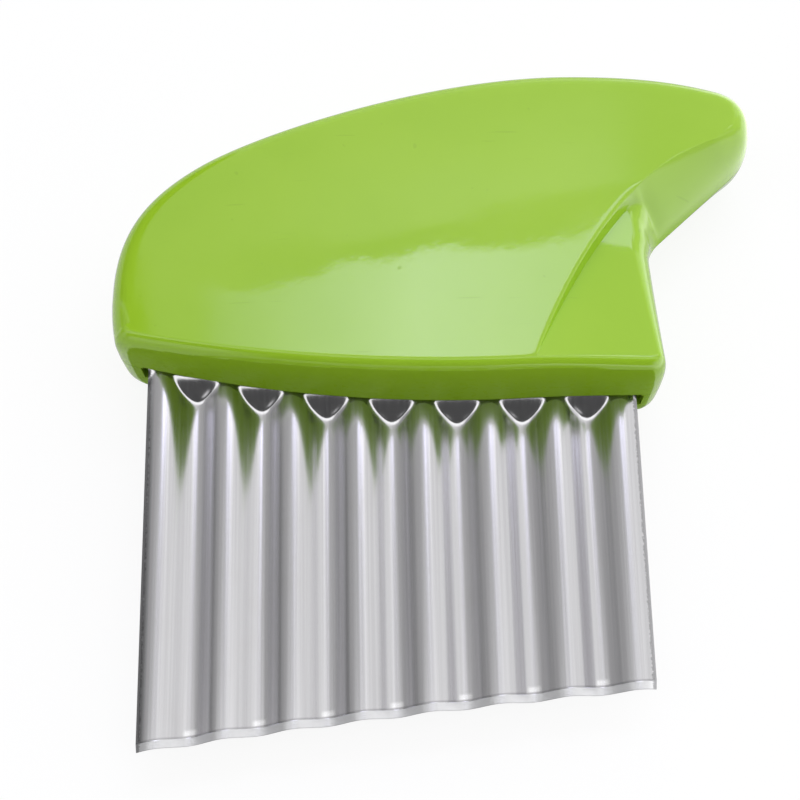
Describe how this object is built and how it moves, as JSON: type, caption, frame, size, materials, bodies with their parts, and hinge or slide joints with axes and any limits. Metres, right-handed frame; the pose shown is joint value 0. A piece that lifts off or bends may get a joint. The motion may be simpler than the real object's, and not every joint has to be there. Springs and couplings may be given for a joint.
{
  "type": "crinkle cutter",
  "caption": "Hand-held crinkle cutter: a corrugated steel blade with a slanted edge, clamped between the two halves of a moulded handle with a finger recess under a horn.",
  "frame": {"origin": "middle of the overall box, on the surface that the rear face lies on", "axes": "+Z out of the front face, +Y from the cutting edge towards the back of the handle, +X towards the horn"},
  "size_m": [0.1004, 0.1036, 0.0247],
  "materials": {
    "handle": "glossy moulded",
    "blade": "bright rolled stainless sheet, ground at the edge",
    "screw": "zinc plated"
  },
  "bodies": {
    "root": {"front_shell": "handle", "rear_shell": "handle", "blade": "blade", "screw_blade_left": "screw", "screw_blade_right": "screw", "screw_heel": "screw", "screw_horn": "screw"}
  },
  "joints": []
}
